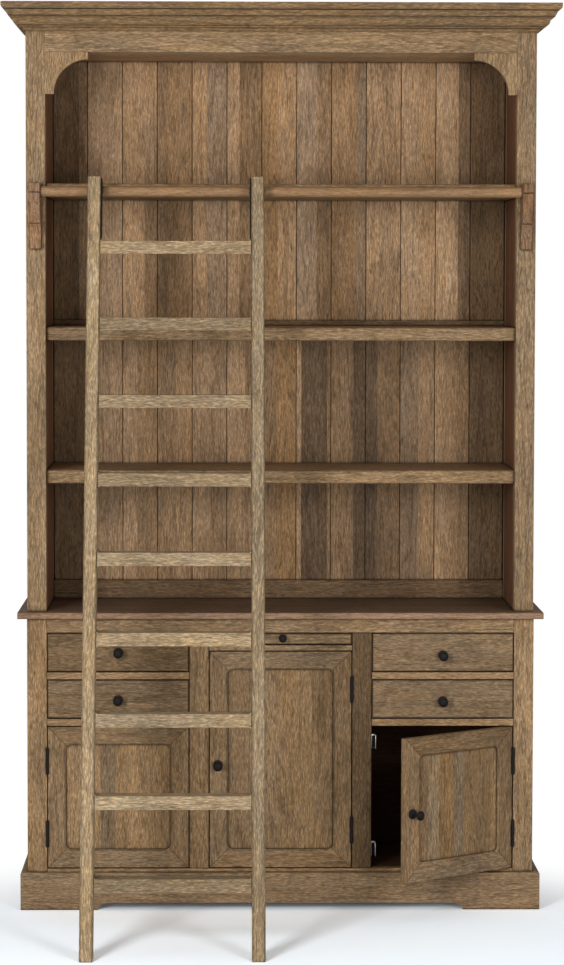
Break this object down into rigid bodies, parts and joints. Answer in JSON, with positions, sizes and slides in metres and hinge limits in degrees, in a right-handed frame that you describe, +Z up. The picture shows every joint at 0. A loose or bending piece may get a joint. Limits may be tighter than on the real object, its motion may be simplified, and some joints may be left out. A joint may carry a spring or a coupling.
{
  "type": "library bookcase with ladder",
  "caption": "Tall wooden bookcase: a hutch of open shelves on a base of drawers, doors and a pull-out tray, with a sliding ladder hooked over a pole.",
  "frame": {"origin": "on the floor, under the middle of the overall box with the ladder leaning out", "axes": "+Z up, -Y the front that the doors and the ladder face, +X to the viewer's right"},
  "size_m": [1.468, 1.0544, 2.4],
  "materials": {
    "case_wood": "matte brushed wood, brown-grey with open grain",
    "back_wood": "matte brushed wood, darker brown",
    "inner_wood": "matte wood, unpolished",
    "red_wood": "matte wood, reddish brown",
    "ladder_wood": "matte brushed wood, pale brown",
    "black_iron": "satin black, slightly worn",
    "catch_steel": "satin plated steel"
  },
  "bodies": {
    "case": {"hutch_posts": "case_wood", "hutch_side_rails": "case_wood", "hutch_side_panels": "case_wood", "hutch_linings": "case_wood", "hutch_top_boards": "case_wood", "frieze_rail": "case_wood", "arch_spandrels": "case_wood", "cornice": "case_wood", "hutch_shelves": "case_wood", "back_boards": "back_wood", "back_rails": "back_wood", "pole_brackets": "red_wood", "hinge_frame_leaves": "black_iron", "door_catches": "catch_steel", "countertop": "case_wood", "base_posts": "case_wood", "base_side_rails": "case_wood", "base_side_panels": "case_wood", "base_linings": "inner_wood", "base_mullions": "case_wood", "base_rails": "case_wood", "base_bottom_board": "inner_wood", "base_partitions": "inner_wood", "base_back_panel": "back_wood", "plinth": "case_wood", "drawer_supports": "inner_wood"},
    "left_door": {"left_door_frame": "case_wood", "left_door_panel": "case_wood", "left_door_knob": "black_iron", "left_door_hinge_leaves": "black_iron"},
    "centre_door": {"centre_door_frame": "case_wood", "centre_door_panel": "case_wood", "centre_door_knob": "black_iron", "centre_door_hinge_leaves": "black_iron"},
    "right_door": {"right_door_frame": "case_wood", "right_door_panel": "case_wood", "right_door_knob": "black_iron", "right_door_hinge_leaves": "black_iron"},
    "left_upper_drawer": {"left_upper_drawer_front": "case_wood", "left_upper_drawer_box": "inner_wood", "left_upper_drawer_knob": "black_iron"},
    "left_lower_drawer": {"left_lower_drawer_front": "case_wood", "left_lower_drawer_box": "inner_wood", "left_lower_drawer_knob": "black_iron"},
    "right_upper_drawer": {"right_upper_drawer_front": "case_wood", "right_upper_drawer_box": "inner_wood", "right_upper_drawer_knob": "black_iron"},
    "right_lower_drawer": {"right_lower_drawer_front": "case_wood", "right_lower_drawer_box": "inner_wood", "right_lower_drawer_knob": "black_iron"},
    "tray": {"tray_front": "case_wood", "tray_board": "inner_wood", "tray_knob": "black_iron"},
    "pole": {"ladder_pole": "red_wood"},
    "ladder": {"ladder_stiles": "ladder_wood", "ladder_rungs": "ladder_wood", "ladder_hooks": "black_iron"}
  },
  "joints": [
    {"name": "left_upper_drawer_slide", "type": "slide", "parent": "case", "child": "left_upper_drawer", "axis": [0, -1, 0], "range_m": [0, 0.28]},
    {"name": "left_lower_drawer_slide", "type": "slide", "parent": "case", "child": "left_lower_drawer", "axis": [0, -1, 0], "range_m": [0, 0.28]},
    {"name": "right_upper_drawer_slide", "type": "slide", "parent": "case", "child": "right_upper_drawer", "axis": [0, -1, 0], "range_m": [0, 0.28]},
    {"name": "right_lower_drawer_slide", "type": "slide", "parent": "case", "child": "right_lower_drawer", "axis": [0, -1, 0], "range_m": [0, 0.28]},
    {"name": "tray_slide", "type": "slide", "parent": "case", "child": "tray", "axis": [0, -1, 0], "range_m": [0, 0.25]},
    {"name": "left_door_hinge", "type": "hinge", "parent": "case", "child": "left_door", "pos_m": [-0.62015, 0.13468, 0.3], "axis": [0, 0, -1], "range_deg": [0, 100]},
    {"name": "centre_door_hinge", "type": "hinge", "parent": "case", "child": "centre_door", "pos_m": [0.18965, 0.13468, 0.4], "axis": [0, 0, 1], "range_deg": [0, 100]},
    {"name": "right_door_hinge", "type": "hinge", "parent": "case", "child": "right_door", "pos_m": [0.62015, 0.13468, 0.3], "axis": [0, 0, 1], "range_deg": [-38, 62]},
    {"name": "pole_turn", "type": "hinge", "parent": "case", "child": "pole", "pos_m": [0, 0.11149, 1.906], "axis": [-1, 0, 0], "range_deg": [0, 20]},
    {"name": "ladder_slide", "type": "slide", "parent": "pole", "child": "ladder", "axis": [1, 0, 0], "range_m": [-0.12, 0.67]}
  ]
}
